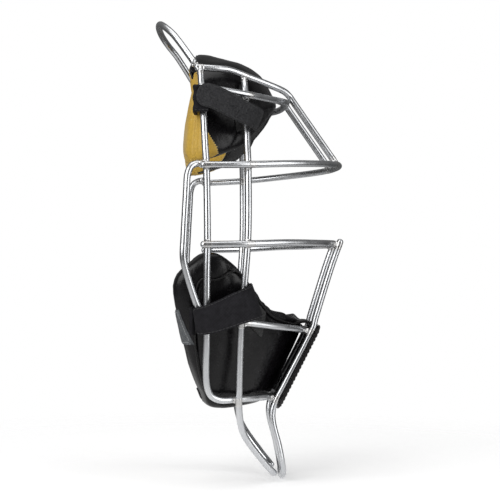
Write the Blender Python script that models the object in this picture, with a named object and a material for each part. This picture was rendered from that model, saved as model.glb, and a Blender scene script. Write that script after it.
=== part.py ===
"""A wire face mask for a baseball catcher or umpire: a welded cage of round bars with two strapped-in pads.

The origin is on the wearer's mid-plane, in the plane of the outer side bars, level with the base of
the nose. +X points forwards out of the mask, +Y to the wearer's left and +Z up. Every length is in
millimetres until it is handed to Blender. Points are given for the wearer's right half (Y below 0).
"""

import math

import bmesh
import bpy
from mathutils import Matrix, Vector

MM = 0.001

# Driving dimensions.
WIRE = 4.8  # diameter of every bar, 3/16 inch
GAP = 0.3  # clearance left between neighbouring solids
TOUCH = WIRE + GAP  # centre distance of two bars that are welded side by side
TUBE_SIDES = 2  # bevel resolution, which gives an eight-sided bar
SPAN_STEPS = 2  # straight pieces between two points of a bar

OUTER_Y = -79.0  # outer side bars at eye level
EYE_BAR_Y = OUTER_Y - TOUCH  # eye bars lie on the outside of the side bars
FRONT_Y = -25.0  # the front bars
CORNER = Vector((-4.6, -60.0, 150.7))  # upper rear corner of the cage
UPPER_EYE_Z = 80.0
LOWER_EYE_Z = 25.6
CHIN_Z = -83.0
THROAT_Z = -142.6

LEATHER = 1.5  # thickness of the pads' covers
CORE_INSET = LEATHER + 2.3  # the foam starts this far inside a pad's outline
END_SHARE = 0.10  # share of a pad's half length that its end cover takes
CORE_END_SHARE = 0.22
PAD_SQUARENESS = 4.0  # exponent of the superellipse that is a pad's section
PAD_STATIONS = 24  # steps from one end of a pad to the other
FACE_STEPS = 8
BACK_STEPS = 12
SEAM_ANGLE = 0.20  # half of the gap between the two covers, round a section

STRAP = 2.2  # thickness of the hook-and-loop straps
UPPER_STRAP_WIDTH = 15.5
UPPER_STRAP_SLOPE = -0.42  # rise over run, towards the front
UPPER_ANCHOR_WIDTH = 18.6
LOWER_STRAP_WIDTH = 23.0
LOWER_STRAP_SLOPE = 0.33
LOWER_ANCHOR_WIDTH = 21.0
LEAN_POINTS = 2  # a strap turns from upright to its slope within this many points
UPPER_HINGE = (-8.6, -78.0, 128.0)  # where the straps fold, on the right side
LOWER_HINGE = (-10.0, -82.2, -26.0)
PATCH = 1.2  # thickness of the hook patches and of the label

PATCH_STEPS = 4
PATCH_LIFT = 0.6  # a patch stands this far off the pad's outline, which is curved
NECK_HALF = 19.0  # half width of the chin flap's neck, between the front bars
FLAP_HALF = 29.0  # half width of the flap, over the front bars
FLAP_CORNER = 9.0
FLAP_LENGTH = 68.0
FLAP_THICKNESS = 2.4
FLAP_HINGE = (82.3, 0.0, -31.6)

STEEL = ("polished_steel", (0.72, 0.73, 0.75), 0.22, 1.0)
TAN_LEATHER = ("tan_leather", (0.60, 0.39, 0.08), 0.50, 0.0)
BLACK_LEATHER = ("black_leather", (0.012, 0.011, 0.012), 0.34, 0.0)
FOAM = ("foam", (0.06, 0.06, 0.065), 0.90, 0.0)
STRAP_FABRIC = ("strap_fabric", (0.035, 0.035, 0.037), 0.85, 0.0)
HOOK_FABRIC = ("hook_fabric", (0.02, 0.02, 0.02), 0.90, 0.0)
LABEL_FABRIC = ("label_fabric", (0.16, 0.17, 0.18), 0.70, 0.0)


# ---------------------------------------------------------------- helpers


def clear_scene():
    for thing in list(bpy.data.objects):
        bpy.data.objects.remove(thing, do_unlink=True)


def material(recipe):
    name, colour, roughness, metallic = recipe
    made = bpy.data.materials.get(name)
    if made:
        return made
    made = bpy.data.materials.new(name)
    made.use_nodes = True
    shader = made.node_tree.nodes["Principled BSDF"]
    shader.inputs["Base Color"].default_value = (*colour, 1.0)
    shader.inputs["Roughness"].default_value = roughness
    shader.inputs["Metallic"].default_value = metallic
    return made


def place(name, data, recipe):
    thing = bpy.data.objects.new(name, data)
    bpy.context.collection.objects.link(thing)
    data.materials.append(material(recipe))
    return thing


def mesh_object(name, bm, recipe):
    mesh = bpy.data.meshes.new(name)
    bm.to_mesh(mesh)
    bm.free()
    return place(name, mesh, recipe)


def mirrored(point):
    return Vector((point[0], -point[1], point[2]))


def spline_value(before, start, end, after, share):
    """A Catmull-Rom spline between start and end."""
    bend = 2 * before - 5 * start + 4 * end - after
    twist = 3 * start - before - 3 * end + after
    return start + 0.5 * share * (end - before + share * (bend + share * twist))


def bent_value(before, start, end, after, share):
    """A bar between start and end. Its bends stay in its short spans, and its long spans straight."""
    reach = (end - start).length
    leaving = (end - before).normalized() * reach
    arriving = (after - start).normalized() * reach
    rest = 1 - share
    ends = start * rest**2 * (1 + 2 * share) + end * share**2 * (1 + 2 * rest)
    return ends + share * rest * (leaving * rest - arriving * share)


def smooth(points, steps=SPAN_STEPS):
    """A smooth line through the points, with its ends running straight on."""
    points = [Vector(p) for p in points]
    padded = [2 * points[0] - points[1], *points, 2 * points[-1] - points[-2]]
    line = []
    for i in range(len(points) - 1):
        for k in range(steps):
            line.append(bent_value(*padded[i : i + 4], k / steps))
    line.append(points[-1])
    return line


def across(half):
    """A whole bar from its right half, which ends on the mid-plane."""
    return [Vector(p) for p in half] + [mirrored(p) for p in reversed(half[:-1])]


# ---------------------------------------------------------------- the cage


def bar(name, line):
    curve = bpy.data.curves.new(name, "CURVE")
    curve.dimensions = "3D"
    curve.bevel_depth = WIRE / 2 * MM
    curve.bevel_resolution = TUBE_SIDES
    curve.use_fill_caps = True
    spline = curve.splines.new("POLY")
    spline.points.add(len(line) - 1)
    for target, point in zip(spline.points, line):
        target.co = (*(Vector(point) * MM), 1.0)
    return place(name, curve, STEEL)


def pair(name, half):
    line = smooth(half)
    bar(name + "_right", line)
    bar(name + "_left", [mirrored(p) for p in line])


def crown_loop():
    """The hairpin that guards the crown, standing on the two upper rear corners."""
    half = (
        CORNER + Vector((-4.9, 2.5, 4.4)),
        (-23.0, -46.0, 175.0),
        (-30.0, -38.0, 182.8),
        (-34.2, -25.0, 187.3),
        (-35.8, 0.0, 188.8),
    )
    bar("crown_loop", smooth(across(half)))


def top_rails():
    """From each upper rear corner forwards, then down the front to the upper eye bar."""
    pair(
        "top_rail",
        (
            CORNER + Vector((-2.6, 0.0, 0.0)),
            (7.7, -55.5, 150.5),
            (15.8, -51.5, 150.2),
            (27.7, -45.0, 147.0),
            (48.4, -33.0, 141.0),
            (56.2, -27.5, 138.3),
            (60.0, FRONT_Y, 135.2),
            (62.6, FRONT_Y, 131.4),
            (77.2, FRONT_Y, 110.3),
            (92.2, FRONT_Y, 88.7),
        ),
    )


def perimeter_rail():
    """The outer side bars, joined under the chin."""
    half = (
        CORNER + Vector((0.0, -1.5, -WIRE / 2 - GAP - 0.2)),
        (-2.5, -71.0, 115.6),
        (-1.4, -76.0, 95.0),
        (-0.4, OUTER_Y, 77.0),
        (0.3, OUTER_Y, 32.2),
        (0.0, -77.0, 4.0),
        (-0.1, -70.5, -38.0),
        (-0.4, -62.5, -67.5),
        (2.6, -58.0, -79.0),
        (9.0, -54.8, CHIN_Z + 0.2),
        (18.8, -49.3, CHIN_Z),
        (33.0, -38.3, CHIN_Z),
        (45.4, -24.0, CHIN_Z),
        (49.6, -10.0, CHIN_Z),
        (50.0, 0.0, CHIN_Z),
    )
    bar("perimeter_rail", smooth(across(half)))


def side_bars():
    """The inner side bars, from under the top rails down to the tip of the throat guard."""
    pair(
        "side_bar",
        (
            (26.2, -46.4, 143.4),
            (26.7, -51.0, 137.0),
            (28.0, -66.0, 95.3),
            (28.5, -71.0, 77.5),
            (28.3, -73.0, 32.5),
            (26.0, -70.5, -2.0),
            (23.8, -63.5, -33.5),
            (22.7, -55.0, -74.0),
            (22.8, -50.2, -92.0),
            (25.2, -44.0, -105.5),
            (30.3, -39.0, -115.2),
            (42.4, -30.5, -131.2),
            (46.4, -26.6, -135.9),
            (48.8, -21.5, -138.6),
        ),
    )


def brow_bar():
    half = (
        (-4.8, -72.2, 135.4),
        (-2.7, -71.4, 135.2),
        (27.6, -59.9, 131.7),
        (42.0, -45.5, 131.0),
        (51.0, -33.5, 131.0),
        (55.4, -24.0, 131.4),
        (58.6, -10.0, 132.6),
        (59.0, 0.0, 133.0),
    )
    bar("brow_bar", smooth(across(half)))


def upper_eye_bar():
    half = (
        (-2.6, EYE_BAR_Y - 0.1, UPPER_EYE_Z),
        (3.0, EYE_BAR_Y, UPPER_EYE_Z + 0.1),
        (28.5, -76.6, 81.0),
        (58.0, -61.5, 83.0),
        (82.0, -42.0, 84.6),
        (93.8, FRONT_Y, 85.6),
        (97.4, -10.0, 86.0),
        (97.9, 0.0, 86.0),
    )
    bar("upper_eye_bar", smooth(across(half)))


def lower_eye_bar():
    half = (
        (-2.6, EYE_BAR_Y - 0.1, LOWER_EYE_Z),
        (3.0, EYE_BAR_Y, LOWER_EYE_Z),
        (28.3, -78.4, 26.2),
        (56.0, -62.5, 27.5),
        (80.0, -42.0, 27.8),
        (90.8, FRONT_Y, 28.0),
        (94.4, -10.0, 28.0),
        (94.8, 0.0, 28.0),
    )
    bar("lower_eye_bar", smooth(across(half)))


def ear_guards():
    """Bowed bars that stand out behind the eye opening, welded to the outer side bars."""
    pair(
        "ear_guard",
        (
            (-3.9, -79.6, 81.6),
            (-7.5, -82.0, 81.0),
            (-11.2, -84.0, 78.6),
            (-13.3, -85.2, 73.0),
            (-13.9, -86.0, 64.0),
            (-15.8, -87.0, 28.6),
            (-16.2, -86.6, 17.5),
            (-14.7, -84.6, 9.0),
            (-8.4, -78.8, -11.4),
            (-5.0, -77.3, -20.0),
            (-0.4, -77.1, -31.5),
        ),
    )


def mouth_bar():
    half = (
        (27.7, -60.6, -28.6),
        (34.0, -56.8, -29.4),
        (50.0, -45.6, -31.8),
        (63.0, -33.5, -33.6),
        (70.0, -24.0, -34.8),
        (73.6, -10.0, -35.6),
        (74.2, 0.0, -35.8),
    )
    bar("mouth_bar", smooth(across(half)))


def front_throat_loop():
    """Both lower front bars and the throat guard's front, bent from one length."""
    half = (
        (96.9, FRONT_Y, 29.4),
        (90.3, FRONT_Y, 10.9),
        (78.8, FRONT_Y, -26.0),
        (76.6, FRONT_Y, -34.0),
        (55.7, FRONT_Y, -74.8),
        (48.6, FRONT_Y, -89.0),
        (47.3, FRONT_Y, -97.0),
        (48.4, FRONT_Y, -105.0),
        (51.6, -24.6, -117.0),
        (54.2, -23.8, -129.6),
        (55.4, -20.0, -137.6),
        (55.2, -11.0, THROAT_Z + 0.9),
        (55.0, 0.0, THROAT_Z),
    )
    bar("front_throat_loop", smooth(across(half)))


# ---------------------------------------------------------------- the pads

# Each station is a section of a pad, as its corners: outer low, outer top, inner top, inner low.
# Stations run from the mid-plane to the right end, and the left half mirrors them.
FOREHEAD_PAD = (
    ((55, 0, 127), (39, 0, 158), (-15, 0, 173), (20, 0, 121)),
    ((42, -36, 109), (31, -30, 157), (-15, -17, 169), (14, -25, 106)),
    ((25, -59, 94), (13, -44, 156), (-16, -27, 161), (8, -38, 92)),
    ((0, -69, 87), (-2, -52, 149), (-11, -32, 153), (-7, -43, 85)),
    ((-15, -63, 85), (-6, -51, 144), (-11, -38, 148), (-19, -47, 84)),
)
CHIN_PAD = (
    ((45, 0, -89), (74.5, 0, -26), (48, 0, -24), (18, 0, -86)),
    ((31, -32, -90), (49, -42, -18), (30, -29, -18), (13, -20, -87)),
    ((14, -43, -91), (24, -65, 12), (6, -43, 13), (3, -28, -88)),
    ((2, -51, -87), (3, -72.5, 20), (-8, -49, 20), (-5, -32, -85)),
    ((-8, -50, -70), (-26, -69, 1), (-27, -55, 2), (-12, -37, -70)),
)
FOREHEAD_SEAMS = (0.70 * math.pi, 1.36 * math.pi)  # where a section's face cover starts and ends
CHIN_SEAMS = (0.64 * math.pi, 1.36 * math.pi)


def section(stations, s):
    """The corners of a pad's section at s, from -1 at the left end to 1 at the right end."""
    place_on = abs(s) * (len(stations) - 1)
    i = min(int(place_on), len(stations) - 2)
    rows = [[Vector(p) for p in station] for station in stations]
    before = rows[i - 1] if i else [mirrored(p) for p in rows[1]]
    if i + 2 < len(rows):
        after = rows[i + 2]
    else:
        after = [2 * b - a for a, b in zip(rows[i], rows[i + 1])]
    corners = [
        spline_value(*four, place_on - i) for four in zip(before, rows[i], rows[i + 1], after)
    ]
    return corners if s >= 0 else [mirrored(p) for p in corners]


def signed_power(value, power):
    return math.copysign(abs(value) ** power, value)


def pad_point(stations, s, angle, inset=0.0):
    """A point of a pad's outline. The angle is 0 at the outside and runs over the top."""
    outer_low, outer_top, inner_top, inner_low = section(stations, s)
    half_depth = (outer_low + outer_top - inner_top - inner_low).length / 4
    half_height = (outer_top + inner_top - outer_low - inner_low).length / 4
    u = signed_power(math.cos(angle), 2 / PAD_SQUARENESS) * (1 - inset / half_depth)
    v = signed_power(math.sin(angle), 2 / PAD_SQUARENESS) * (1 - inset / half_height)
    outer = outer_top * (1 + v) / 2 + outer_low * (1 - v) / 2
    inner = inner_top * (1 + v) / 2 + inner_low * (1 - v) / 2
    return (outer * (1 + u) + inner * (1 - u)) / 2


def stations_between(low, high):
    return [low + (high - low) * i / PAD_STATIONS for i in range(PAD_STATIONS + 1)]


def angles_between(low, high, steps):
    return [low + (high - low) * i / steps for i in range(steps + 1)]


def surface(bm, rows, closed):
    """Quads over rows of points, facing out of the pad, and the rows' vertices."""
    grid = [[bm.verts.new(p * MM) for p in row] for row in rows]
    count = len(grid[0])
    for this, following in zip(grid, grid[1:]):
        for j in range(count if closed else count - 1):
            k = (j + 1) % count
            bm.faces.new((this[j], this[k], following[k], following[j]))
    return grid


def pad_core(name, stations):
    bm = bmesh.new()
    turn = angles_between(0, 2 * math.pi, FACE_STEPS + BACK_STEPS)[:-1]
    end = 1 - CORE_END_SHARE
    rows = [
        [pad_point(stations, s, a, CORE_INSET) for a in turn] for s in stations_between(-end, end)
    ]
    grid = surface(bm, rows, closed=True)
    bm.faces.new(grid[0])
    bm.faces.new(grid[-1])
    bmesh.ops.recalc_face_normals(bm, faces=bm.faces)
    return mesh_object(name, bm, FOAM)


def thicken(thing, thickness):
    """Turns an open cover into a closed sheet that reaches inwards from the pad's outline."""
    shell = thing.modifiers.new("thickness", "SOLIDIFY")
    shell.thickness = thickness * MM
    shell.offset = -1.0
    shell.use_even_offset = False
    return thing


def pad_face(name, stations, seams, recipe):
    """The cover on the wearer's side, folded round both ends of the pad."""
    bm = bmesh.new()
    face_turn = angles_between(*seams, FACE_STEPS)
    back_turn = angles_between(seams[1], seams[0] + 2 * math.pi, BACK_STEPS)[1:-1]
    rows = [[pad_point(stations, s, a) for a in face_turn] for s in stations_between(-1, 1)]
    grid = surface(bm, rows, closed=False)
    for row, s in ((grid[0], -1), (grid[-1], 1)):
        rest = [bm.verts.new(pad_point(stations, s, a) * MM) for a in back_turn]
        loop = row + rest
        bm.faces.new(loop if s > 0 else list(reversed(loop)))
    return thicken(mesh_object(name, bm, recipe), LEATHER)


def pad_back(name, stations, seams, recipe):
    """The cover on the outer side, over the pad's top and bottom edges."""
    bm = bmesh.new()
    turn = angles_between(seams[1] + SEAM_ANGLE, seams[0] + 2 * math.pi - SEAM_ANGLE, BACK_STEPS)
    end = 1 - END_SHARE
    rows = [[pad_point(stations, s, a) for a in turn] for s in stations_between(-end, end)]
    surface(bm, rows, closed=False)
    return thicken(mesh_object(name, bm, recipe), LEATHER)


def pad(name, stations, seams, face_recipe):
    pad_core(name + "_core", stations)
    pad_face(name + "_face", stations, seams, face_recipe)
    pad_back(name + "_back", stations, seams, BLACK_LEATHER)


# ---------------------------------------------------------------- the straps and patches


def band(name, path, width, slope, recipe):
    """A flat strap. The path is the middle of its thickness, and its ends are cut across its slope."""
    middle = [Vector(p) for p in path]
    bm = bmesh.new()
    rings = []
    for i, point in enumerate(middle):
        ahead = (middle[min(i + 1, len(middle) - 1)] - middle[max(i - 1, 0)]).normalized()
        lean = Vector((-slope * min(1.0, i / LEAN_POINTS), 0.0, 1.0))
        upward = (lean - ahead * lean.dot(ahead)).normalized()
        outward = ahead.cross(upward)
        corners = ((1, 1), (1, -1), (-1, -1), (-1, 1))
        rings.append(
            [
                bm.verts.new((point + a * outward * STRAP / 2 + b * upward * width / 2) * MM)
                for a, b in corners
            ]
        )
    for this, following in zip(rings, rings[1:]):
        for j in range(4):
            k = (j + 1) % 4
            bm.faces.new((this[j], this[k], following[k], following[j]))
    bm.faces.new(rings[0])
    bm.faces.new(rings[-1])
    bmesh.ops.recalc_face_normals(bm, faces=bm.faces)
    return mesh_object(name, bm, recipe)


def both_sides(name, path, width, slope, recipe, axis=(0.0, 0.0, 0.0)):
    """The band and its mirror image, each with its origin on its own hinge line."""
    right = band(name + "_right", path, width, slope, recipe)
    left = place(name + "_left", right.data.copy(), recipe)
    left.data.transform(Matrix.Diagonal((1, -1, 1, 1)))
    left.data.flip_normals()
    for thing, flip in ((right, 1), (left, -1)):
        origin = Vector((axis[0], flip * axis[1], axis[2])) * MM
        thing.data.transform(Matrix.Translation(-origin))
        thing.location = origin


def upper_straps():
    """Sewn to the forehead pad behind the outer bar, round it, forwards, and on to a hook patch."""
    x, y, z = UPPER_HINGE
    both_sides(
        "upper_strap_anchor",
        ((x + 0.6, -60.4, z - 2.1), (x - 0.2, -64.0, z - 2.1), (x - 0.6, y + 2.8, z - 2.1)),
        UPPER_ANCHOR_WIDTH,
        0.0,
        STRAP_FABRIC,
    )
    both_sides(
        "upper_strap",
        (
            (x + 1.5, y + 0.2, z + 2.3),
            (4.0, -77.0, 127.8),
            (14.0, -74.8, 123.6),
            (24.0, -71.8, 118.6),
            (30.4, -69.6, 115.8),
            (34.0, -66.6, 114.3),
            (35.8, -62.2, 113.4),
            (36.0, -57.8, 112.8),
        ),
        UPPER_STRAP_WIDTH,
        UPPER_STRAP_SLOPE,
        STRAP_FABRIC,
        axis=UPPER_HINGE,
    )


def lower_straps():
    """As the upper straps, on the chin pad: they rise forwards over the side bars."""
    x, y, z = LOWER_HINGE
    both_sides(
        "lower_strap_anchor",
        ((x + 0.8, -66.0, z - 1.0), (x - 0.8, -72.0, z - 1.0), (x - 1.0, y + 2.8, z - 1.0)),
        LOWER_ANCHOR_WIDTH,
        0.0,
        STRAP_FABRIC,
    )
    both_sides(
        "lower_strap",
        (
            (x + 1.5, y + 0.2, z - 1.2),
            (2.0, -81.6, -25.4),
            (12.0, -79.4, -22.0),
            (20.5, -78.0, -18.5),
            (28.0, -76.5, -15.8),
            (32.4, -72.8, -14.2),
            (34.0, -67.6, -13.2),
            (34.0, -62.0, -12.6),
        ),
        LOWER_STRAP_WIDTH,
        LOWER_STRAP_SLOPE,
        STRAP_FABRIC,
        axis=LOWER_HINGE,
    )


def pad_patch(name, stations, reach, turn):
    """A thin patch that follows a pad's outline, just off it."""
    bm = bmesh.new()
    layers = []
    for lift in (PATCH_LIFT, PATCH_LIFT + PATCH):
        layers.append(
            [
                [
                    bm.verts.new(pad_point(stations, s, a, -lift) * MM)
                    for a in angles_between(*turn, PATCH_STEPS)
                ]
                for s in angles_between(*reach, PATCH_STEPS)
            ]
        )
    for grid in layers:
        for this, following in zip(grid, grid[1:]):
            for j in range(PATCH_STEPS):
                bm.faces.new((this[j], this[j + 1], following[j + 1], following[j]))
    rims = [
        grid[0] + [row[-1] for row in grid[1:-1]] + grid[-1][::-1] + [r[0] for r in grid[-2:0:-1]]
        for grid in layers
    ]
    for j in range(len(rims[0])):
        k = (j + 1) % len(rims[0])
        bm.faces.new((rims[0][j], rims[0][k], rims[1][k], rims[1][j]))
    bmesh.ops.recalc_face_normals(bm, faces=bm.faces)
    return mesh_object(name, bm, HOOK_FABRIC)


def hook_patches():
    """Where the straps' tips are pressed on to the pads."""
    for name, stations, reach, turn in (
        ("upper_hook_patch", FOREHEAD_PAD, (0.36, 0.52), (-0.75, -0.02)),
        ("lower_hook_patch", CHIN_PAD, (0.30, 0.46), (0.02, 0.9)),
    ):
        for side, flip in (("_right", 1), ("_left", -1)):
            pad_patch(name + side, stations, [flip * s for s in reach], turn)


def chin_label():
    """A plain woven patch on the rear end of the chin pad's right arm."""
    outer_low, outer_top, inner_top, inner_low = section(CHIN_PAD, 1.0)
    bm = bmesh.new()
    corners = []
    for u, v in ((0.55, -0.25), (0.55, 0.42), (-0.55, 0.42), (-0.55, -0.25)):
        outer = outer_top * (1 + v) / 2 + outer_low * (1 - v) / 2
        inner = inner_top * (1 + v) / 2 + inner_low * (1 - v) / 2
        corners.append((outer * (1 + u) + inner * (1 - u)) / 2)
    back = (corners[1] - corners[0]).cross(corners[2] - corners[0]).normalized()
    if back.x > 0:
        back = -back
    for depth in (2 * PATCH_LIFT, 2 * PATCH_LIFT + PATCH):
        for corner in corners:
            bm.verts.new((corner + back * depth) * MM)
    bm.verts.ensure_lookup_table()
    near, far = bm.verts[:4], bm.verts[4:]
    bm.faces.new(near)
    bm.faces.new(far)
    for i in range(4):
        k = (i + 1) % 4
        bm.faces.new((near[i], near[k], far[k], far[i]))
    bmesh.ops.recalc_face_normals(bm, faces=bm.faces)
    mesh_object("chin_pad_label", bm, LABEL_FABRIC)


def tongue(name, line, half_widths, thickness, recipe):
    """A flat piece whose width runs across the mask. The line is the middle of its thickness."""
    bm = bmesh.new()
    rings = []
    for i, (x, z) in enumerate(line):
        ahead = Vector(line[min(i + 1, len(line) - 1)]) - Vector(line[max(i - 1, 0)])
        outward = Vector((-ahead.y, ahead.x)).normalized() * thickness / 2
        ring = []
        for side, edge in ((1, 1), (1, -1), (-1, -1), (-1, 1)):
            point = Vector((x + side * outward.x, edge * half_widths[i], z + side * outward.y))
            ring.append(bm.verts.new(point * MM))
        rings.append(ring)
    for this, following in zip(rings, rings[1:]):
        for j in range(4):
            k = (j + 1) % 4
            bm.faces.new((this[j], this[k], following[k], following[j]))
    bm.faces.new(rings[0])
    bm.faces.new(rings[-1])
    bmesh.ops.recalc_face_normals(bm, faces=bm.faces)
    return mesh_object(name, bm, recipe)


def chin_flap():
    """The chin pad's tongue: a neck over the mouth bar, and a flap folded down on the front bars."""
    tongue(
        "chin_flap_neck",
        ((71.6, -27.2), (75.4, -29.4), (79.0, -30.9), (FLAP_HINGE[0] - 2.0, FLAP_HINGE[2])),
        (NECK_HALF,) * 4,
        STRAP,
        BLACK_LEATHER,
    )
    start = Vector((FLAP_HINGE[0], FLAP_HINGE[2]))
    down = Vector((55.7 - 76.6, -74.8 + 34.0)).normalized()
    steps = 12
    line = []
    half_widths = []
    for i in range(steps + 1):
        run = FLAP_LENGTH * i / steps
        corner = max(0.0, FLAP_CORNER - min(run, FLAP_LENGTH - run))
        line.append(tuple(start + down * run))
        half_widths.append(FLAP_HALF - FLAP_CORNER + math.sqrt(FLAP_CORNER**2 - corner**2))
    flap = tongue("chin_flap", line, half_widths, FLAP_THICKNESS, BLACK_LEATHER)
    origin = Vector(FLAP_HINGE) * MM
    flap.data.transform(Matrix.Translation(-origin))
    flap.location = origin


def build():
    clear_scene()
    crown_loop()
    top_rails()
    perimeter_rail()
    side_bars()
    brow_bar()
    upper_eye_bar()
    lower_eye_bar()
    ear_guards()
    mouth_bar()
    front_throat_loop()
    pad("forehead_pad", FOREHEAD_PAD, FOREHEAD_SEAMS, TAN_LEATHER)
    pad("chin_pad", CHIN_PAD, CHIN_SEAMS, BLACK_LEATHER)
    upper_straps()
    lower_straps()
    hook_patches()
    chin_label()
    chin_flap()


build()
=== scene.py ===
"""The looks of a baseball wire face mask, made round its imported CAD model.

The frame is the CAD's: +X out of the mask, +Y to the wearer's left, +Z up, with the origin level with
the base of the nose. Lengths are in millimetres until they are handed to Blender, and points are given
for the wearer's right half (Y below 0).
"""

import math
import random

import bmesh
import bpy
import numpy as np
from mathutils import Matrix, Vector
from mathutils.bvhtree import BVHTree
from mathutils.kdtree import KDTree


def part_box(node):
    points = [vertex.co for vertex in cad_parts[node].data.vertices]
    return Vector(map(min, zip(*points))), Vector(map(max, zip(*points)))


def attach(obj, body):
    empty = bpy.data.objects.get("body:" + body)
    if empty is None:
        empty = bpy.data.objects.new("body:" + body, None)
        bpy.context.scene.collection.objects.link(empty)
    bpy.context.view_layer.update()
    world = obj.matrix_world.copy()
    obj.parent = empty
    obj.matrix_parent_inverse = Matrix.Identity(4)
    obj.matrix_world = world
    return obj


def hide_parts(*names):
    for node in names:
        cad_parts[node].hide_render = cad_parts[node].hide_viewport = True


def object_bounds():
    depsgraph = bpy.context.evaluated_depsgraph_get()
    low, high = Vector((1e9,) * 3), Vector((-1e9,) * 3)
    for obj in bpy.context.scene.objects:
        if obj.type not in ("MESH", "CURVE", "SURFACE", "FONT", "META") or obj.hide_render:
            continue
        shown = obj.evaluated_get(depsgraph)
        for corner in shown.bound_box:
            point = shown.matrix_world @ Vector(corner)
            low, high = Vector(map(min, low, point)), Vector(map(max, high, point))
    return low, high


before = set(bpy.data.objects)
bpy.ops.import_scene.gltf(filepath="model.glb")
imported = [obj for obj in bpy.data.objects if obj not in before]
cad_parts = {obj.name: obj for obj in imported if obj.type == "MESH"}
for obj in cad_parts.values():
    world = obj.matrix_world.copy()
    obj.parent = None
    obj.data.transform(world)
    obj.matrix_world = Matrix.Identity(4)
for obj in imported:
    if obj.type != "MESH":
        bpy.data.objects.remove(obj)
cad_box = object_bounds()

MM = 0.001
WIRE = 4.8  # diameter of the bars
TOUCH = 5.1  # centre distance of two bars that are welded side by side
OUTER_Y = -79.0
EYE_BAR_Y = OUTER_Y - TOUCH  # the eye bars pass outside the outer side bars
FRONT_Y = -25.0
CORNER = Vector((-4.6, -60.0, 150.7))
CHIN_Z = -83.0
THROAT_Z = -142.6
SHARP_ANGLE = math.radians(50.0)  # faces that meet at more than this make a sharp edge


# ---- materials


class Nodes:
    """Short ways to add nodes to a tree."""

    def __init__(self, tree):
        self.tree = tree
        self.coordinates = self.add("TexCoord").outputs
        self.place = self.coordinates["Object"]

    def feed(self, socket, value):
        if isinstance(value, bpy.types.NodeSocket):
            self.tree.links.new(value, socket)
        else:
            socket.default_value = value

    def add(self, kind, inputs=None, **settings):
        node = self.tree.nodes.new("ShaderNode" + kind)
        for name, value in settings.items():
            setattr(node, name, value)
        for name, value in (inputs or {}).items():
            self.feed(node.inputs[name], value)
        return node

    def noise(self, size, detail=2.0, distortion=0.0):
        """Noise whose features are that many millimetres across."""
        inputs = {"Vector": self.place, "Scale": 1 / (size * MM)}
        inputs.update(Detail=detail, Distortion=distortion)
        return self.add("TexNoise", inputs).outputs["Fac"]

    def cells(self, size, feature="F1"):
        inputs = {"Vector": self.place, "Scale": 1 / (size * MM)}
        return self.add("TexVoronoi", inputs, feature=feature).outputs["Distance"]

    def attribute(self, name):
        return self.add("Attribute", attribute_name=name).outputs["Fac"]

    def math(self, operation, *values):
        inputs = dict(enumerate(values))
        return self.add("Math", inputs, operation=operation).outputs["Value"]

    def between(self, value, low, high, start=0.0, end=1.0):
        """The value, moved from the range low to high into the range start to end."""
        inputs = {"Value": value, "From Min": low, "From Max": high, "To Min": start, "To Max": end}
        return self.add("MapRange", inputs).outputs["Result"]

    def mixed(self, share, first, second):
        node = self.add("Mix", data_type="RGBA")
        for index, value in ((0, share), (6, first), (7, second)):
            self.feed(node.inputs[index], value)
        return node.outputs[2]

    def bump(self, height, depth, strength=1.0, under=None):
        """A bump of that many millimetres, over another one."""
        inputs = {"Height": height, "Distance": depth * MM, "Strength": strength}
        if under is not None:
            inputs["Normal"] = under
        return self.add("Bump", inputs).outputs["Normal"]

    def worn_edges(self):
        pointy = self.add("NewGeometry").outputs["Pointiness"]
        return self.between(pointy, 0.52, 0.60)


class Look(Nodes):
    """A material while it is made, with its shader."""

    def __init__(self, name, roughness, metallic=0.0):
        self.material = bpy.data.materials.new(name)
        self.material.use_nodes = True
        super().__init__(self.material.node_tree)
        self.shader = self.tree.nodes["Principled BSDF"]
        self.set(Roughness=roughness, Metallic=metallic)

    def set(self, **sockets):
        for name, value in sockets.items():
            self.feed(self.shader.inputs[name.replace("_", " ")], value)


def rgb(red, green, blue):
    return (red, green, blue, 1.0)


def steel_look():
    """Polished and plated wire, with wiping marks."""
    look = Look("polished_steel", 0.26, 1.0)
    smears = look.noise(14.0, 1.0, 0.6)
    look.set(
        Base_Color=look.mixed(smears, rgb(0.50, 0.51, 0.53), rgb(0.66, 0.67, 0.68)),
        Roughness=look.between(smears, 0.3, 0.7, 0.24, 0.31),
    )
    return look.material


def weld_look():
    """The same steel where it has been melted: duller, and rippled."""
    look = Look("welded_steel", 0.3, 1.0)
    ripples = look.noise(0.9, 3.0)
    tint = look.noise(5.0, 2.0)
    look.set(
        Base_Color=look.mixed(tint, rgb(0.44, 0.43, 0.42), rgb(0.72, 0.72, 0.72)),
        Roughness=look.between(ripples, 0.3, 0.7, 0.18, 0.36),
        Normal=look.bump(ripples, 0.12, 0.6),
    )
    return look.material


PAINTED_SHEEN_FROM = -11.0  # the painted pale sheen on the tan leather's rear ends begins here, going backwards
PAINTED_SHEEN_TO = -15.0


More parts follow.
